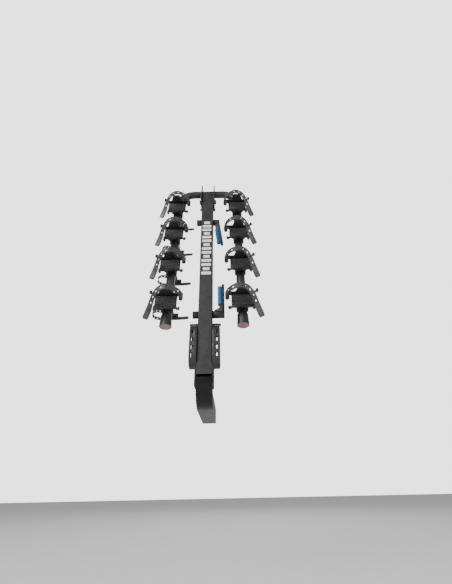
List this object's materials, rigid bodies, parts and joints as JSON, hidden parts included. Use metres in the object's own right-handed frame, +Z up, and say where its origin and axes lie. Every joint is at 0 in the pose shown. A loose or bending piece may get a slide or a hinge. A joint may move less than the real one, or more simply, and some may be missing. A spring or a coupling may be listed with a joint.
{
  "type": "hitch mounted bike rack",
  "caption": "Hitch mounted bike rack with a tilting mast, folding U-shaped arms, release levers and strapped bike cradles.",
  "frame": {"origin": "centre of the hitch-pin hole on the shank's axis", "axes": "+X right seen from behind the vehicle and along the pin hole, +Y towards the vehicle, +Z up along the mast"},
  "size_m": [0.4032, 0.4428, 1.008],
  "materials": {
    "satin_black_steel": "satin powder coat",
    "gloss_black_steel": "gloss paint",
    "black_plastic": "moulded, lightly grained",
    "rubber": "matt",
    "lever_grip": "moulded blue",
    "reflector": "dusty red lens",
    "zinc_steel": "black zinc"
  },
  "bodies": {
    "base": {"gooseneck": "gloss_black_steel", "shank_end_plug": "black_plastic", "hinge_cheek_right": "satin_black_steel", "hinge_cheek_left": "satin_black_steel", "tilt_bolt": "zinc_steel", "tilt_nut": "zinc_steel"},
    "mast": {"mast_tube": "satin_black_steel", "mast_top_cap": "black_plastic", "arm_pivot_bolt": "zinc_steel", "arm_pivot_nut": "zinc_steel", "lever_bushings": "black_plastic", "tilt_latch_spring": "zinc_steel", "fold_latch_spring": "zinc_steel"},
    "tilt_lever": {"tilt_lever": "black_plastic", "tilt_lever_grip": "lever_grip"},
    "fold_lever": {"fold_lever": "black_plastic", "fold_lever_grip": "lever_grip"},
    "tilt_latch": {"tilt_latch_pin": "zinc_steel", "tilt_latch_link": "zinc_steel"},
    "fold_latch": {"fold_latch_pin": "zinc_steel", "fold_latch_link": "zinc_steel"},
    "arms": {"arm_tube": "satin_black_steel", "arm_plate_right": "satin_black_steel", "arm_plate_left": "satin_black_steel", "end_sleeve_right": "black_plastic", "end_sleeve_left": "black_plastic", "reflector_right": "reflector", "reflector_left": "reflector", "cradle_1_right": "black_plastic", "saddle_pad_1_right": "rubber", "cradle_1_left": "black_plastic", "saddle_pad_1_left": "rubber", "cradle_2_right": "black_plastic", "saddle_pad_2_right": "rubber", "cradle_2_left": "black_plastic", "saddle_pad_2_left": "rubber", "cradle_3_right": "black_plastic", "saddle_pad_3_right": "rubber", "cradle_3_left": "black_plastic", "saddle_pad_3_left": "rubber", "cradle_4_right": "black_plastic", "saddle_pad_4_right": "rubber", "cradle_4_left": "black_plastic", "saddle_pad_4_left": "rubber"},
    "frame_strap_1_right": {"frame_strap_1_right": "rubber"},
    "frame_strap_1_left": {"frame_strap_1_left": "rubber"},
    "sway_cradle_1": {"sway_cradle_1": "black_plastic"},
    "sway_strap_1": {"sway_strap_1": "rubber"},
    "frame_strap_2_right": {"frame_strap_2_right": "rubber"},
    "frame_strap_2_left": {"frame_strap_2_left": "rubber"},
    "sway_cradle_2": {"sway_cradle_2": "black_plastic"},
    "sway_strap_2": {"sway_strap_2": "rubber"},
    "frame_strap_3_right": {"frame_strap_3_right": "rubber"},
    "frame_strap_3_left": {"frame_strap_3_left": "rubber"},
    "sway_cradle_3": {"sway_cradle_3": "black_plastic"},
    "sway_strap_3": {"sway_strap_3": "rubber"},
    "frame_strap_4_right": {"frame_strap_4_right": "rubber"},
    "frame_strap_4_left": {"frame_strap_4_left": "rubber"},
    "sway_cradle_4": {"sway_cradle_4": "black_plastic"},
    "sway_strap_4": {"sway_strap_4": "rubber"}
  },
  "joints": [
    {"name": "mast_tilt", "type": "hinge", "parent": "base", "child": "mast", "pos_m": [0, -0.208, 0.11061], "axis": [1, 0, 0], "range_deg": [0, 50]},
    {"name": "arm_fold", "type": "hinge", "parent": "mast", "child": "arms", "pos_m": [0, -0.208, 0.87061], "axis": [-1, 0, 0], "range_deg": [0, 90]},
    {"name": "tilt_lever_pull", "type": "hinge", "parent": "mast", "child": "tilt_lever", "pos_m": [0, -0.208, 0.28661], "axis": [1, 0, 0], "range_deg": [0, 60], "stiffness_Nm_per_rad": 0.6, "springref_deg": -34.38},
    {"name": "fold_lever_pull", "type": "hinge", "parent": "mast", "child": "fold_lever", "pos_m": [0, -0.208, 0.73961], "axis": [-1, 0, 0], "range_deg": [0, 60], "stiffness_Nm_per_rad": 0.6, "springref_deg": -34.38},
    {"name": "tilt_latch_slide", "type": "slide", "parent": "mast", "child": "tilt_latch", "axis": [0, 0, 1], "range_m": [0, 0.012], "deforming": ["tilt_latch_spring"]},
    {"name": "fold_latch_slide", "type": "slide", "parent": "mast", "child": "fold_latch", "axis": [0, 0, -1], "range_m": [0, 0.012], "deforming": ["fold_latch_spring"]},
    {"name": "frame_strap_open_1_right", "type": "hinge", "parent": "arms", "child": "frame_strap_1_right", "pos_m": [0.078, -0.26215, 0.8056], "axis": [0, -0.0698, -0.9976], "range_deg": [0, 55]},
    {"name": "frame_strap_open_1_left", "type": "hinge", "parent": "arms", "child": "frame_strap_1_left", "pos_m": [-0.078, -0.26215, 0.8056], "axis": [0, 0.0698, 0.9976], "range_deg": [0, 55]},
    {"name": "sway_swivel_1", "type": "hinge", "parent": "arms", "child": "sway_cradle_1", "pos_m": [-0.129, -0.21553, 0.81287], "axis": [0, 0.0698, 0.9976], "range_deg": [-4, 60]},
    {"name": "sway_strap_open_1", "type": "hinge", "parent": "sway_cradle_1", "child": "sway_strap_1", "pos_m": [-0.144, -0.12775, 0.80673], "axis": [0, 0.0698, 0.9976], "range_deg": [0, 25]},
    {"name": "frame_strap_open_2_right", "type": "hinge", "parent": "arms", "child": "frame_strap_2_right", "pos_m": [0.078, -0.27366, 0.64101], "axis": [0, -0.0698, -0.9976], "range_deg": [0, 55]},
    {"name": "frame_strap_open_2_left", "type": "hinge", "parent": "arms", "child": "frame_strap_2_left", "pos_m": [-0.078, -0.27366, 0.64101], "axis": [0, 0.0698, 0.9976], "range_deg": [0, 55]},
    {"name": "sway_swivel_2", "type": "hinge", "parent": "arms", "child": "sway_cradle_2", "pos_m": [-0.129, -0.22704, 0.64827], "axis": [0, 0.0698, 0.9976], "range_deg": [-4, 60]},
    {"name": "sway_strap_open_2", "type": "hinge", "parent": "sway_cradle_2", "child": "sway_strap_2", "pos_m": [-0.144, -0.13926, 0.64213], "axis": [0, 0.0698, 0.9976], "range_deg": [0, 25]},
    {"name": "frame_strap_open_3_right", "type": "hinge", "parent": "arms", "child": "frame_strap_3_right", "pos_m": [0.078, -0.28517, 0.47641], "axis": [0, -0.0698, -0.9976], "range_deg": [0, 55]},
    {"name": "frame_strap_open_3_left", "type": "hinge", "parent": "arms", "child": "frame_strap_3_left", "pos_m": [-0.078, -0.28517, 0.47641], "axis": [0, 0.0698, 0.9976], "range_deg": [0, 55]},
    {"name": "sway_swivel_3", "type": "hinge", "parent": "arms", "child": "sway_cradle_3", "pos_m": [-0.129, -0.23855, 0.48367], "axis": [0, 0.0698, 0.9976], "range_deg": [-4, 60]},
    {"name": "sway_strap_open_3", "type": "hinge", "parent": "sway_cradle_3", "child": "sway_strap_3", "pos_m": [-0.144, -0.15077, 0.47753], "axis": [0, 0.0698, 0.9976], "range_deg": [0, 25]},
    {"name": "frame_strap_open_4_right", "type": "hinge", "parent": "arms", "child": "frame_strap_4_right", "pos_m": [0.078, -0.29668, 0.31181], "axis": [0, -0.0698, -0.9976], "range_deg": [0, 55]},
    {"name": "frame_strap_open_4_left", "type": "hinge", "parent": "arms", "child": "frame_strap_4_left", "pos_m": [-0.078, -0.29668, 0.31181], "axis": [0, 0.0698, 0.9976], "range_deg": [0, 55]},
    {"name": "sway_swivel_4", "type": "hinge", "parent": "arms", "child": "sway_cradle_4", "pos_m": [-0.129, -0.25006, 0.31907], "axis": [0, 0.0698, 0.9976], "range_deg": [-4, 60]},
    {"name": "sway_strap_open_4", "type": "hinge", "parent": "sway_cradle_4", "child": "sway_strap_4", "pos_m": [-0.144, -0.16228, 0.31294], "axis": [0, 0.0698, 0.9976], "range_deg": [0, 25]}
  ],
  "couplings": [
    {"joint": "tilt_latch_slide", "follows": "tilt_lever_pull", "m_per_rad": 0.011459},
    {"joint": "fold_latch_slide", "follows": "fold_lever_pull", "m_per_rad": 0.011459}
  ]
}
